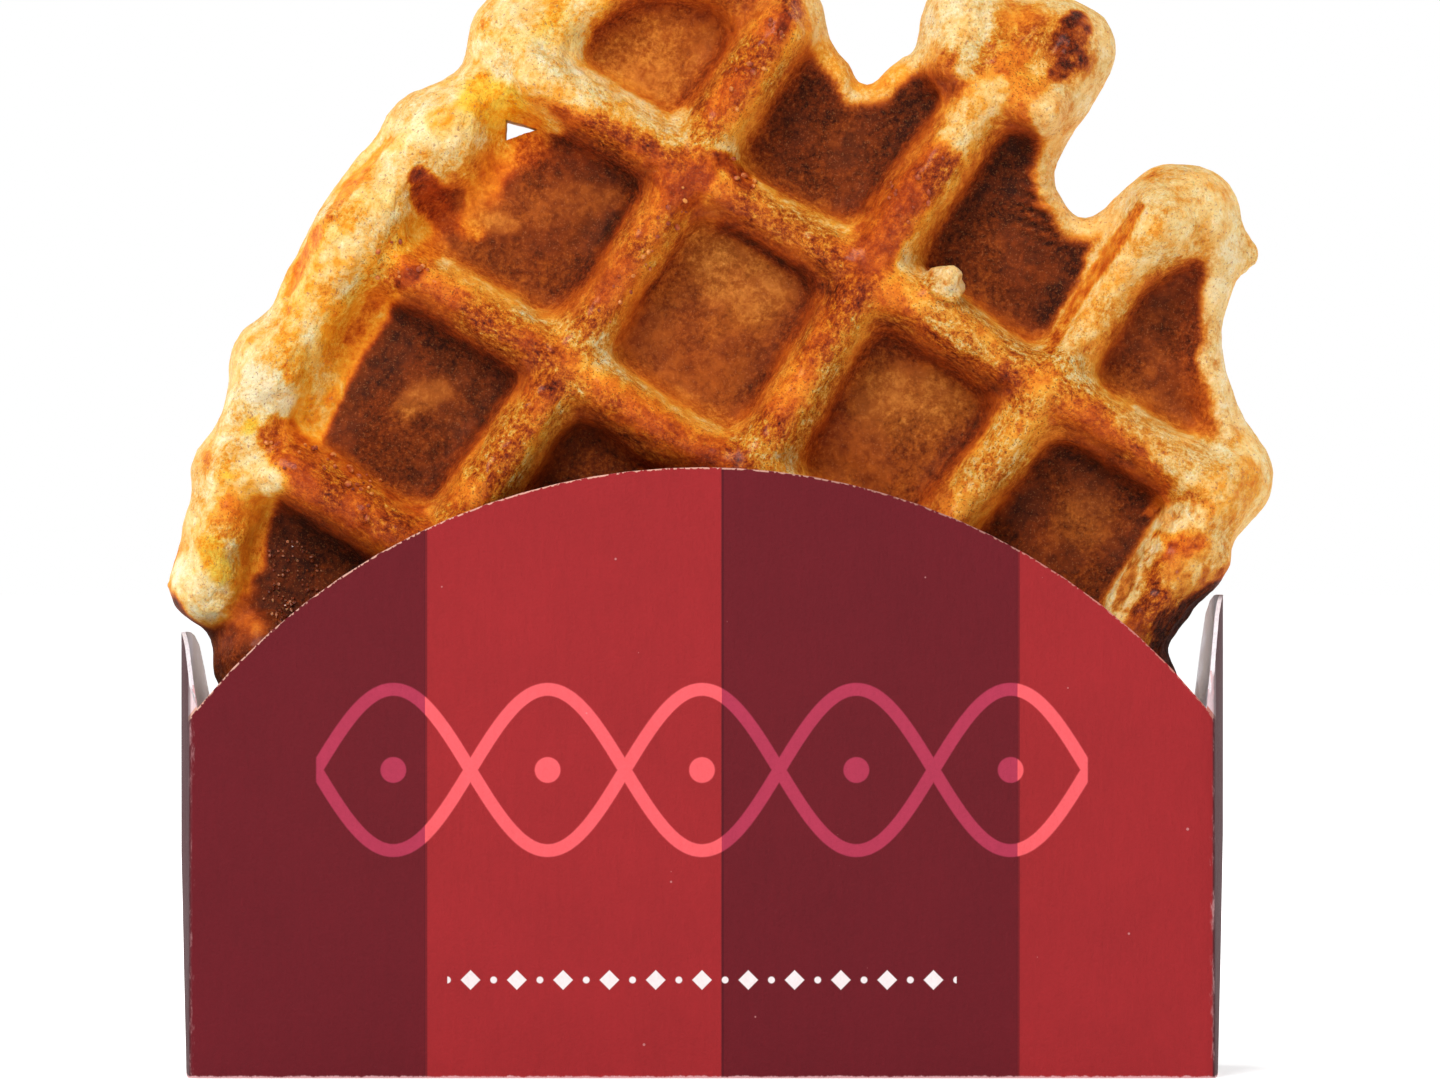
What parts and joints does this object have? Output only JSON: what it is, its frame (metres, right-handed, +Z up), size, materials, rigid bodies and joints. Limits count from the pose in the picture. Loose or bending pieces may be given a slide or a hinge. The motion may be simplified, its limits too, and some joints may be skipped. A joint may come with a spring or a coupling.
{
  "type": "waffle in a paperboard sleeve",
  "caption": "Thick round waffle with deep square pockets on both faces, an uneven baked edge and a folded flap, standing in an open folded paperboard sleeve with a domed front.",
  "frame": {"origin": "middle of the sleeve's flat underside", "axes": "+X to the right along the sleeve's width, +Y away from the shown face, +Z up"},
  "size_m": [0.131, 0.0294, 0.1317],
  "materials": {
    "waffle_crust": "baked golden-brown crust with caramelised sugar glaze, darker in the pockets",
    "printed_board": "satin printed board with broad vertical stripes, white inside"
  },
  "bodies": {
    "root": {"waffle": "waffle_crust", "sleeve": "printed_board"}
  },
  "joints": []
}
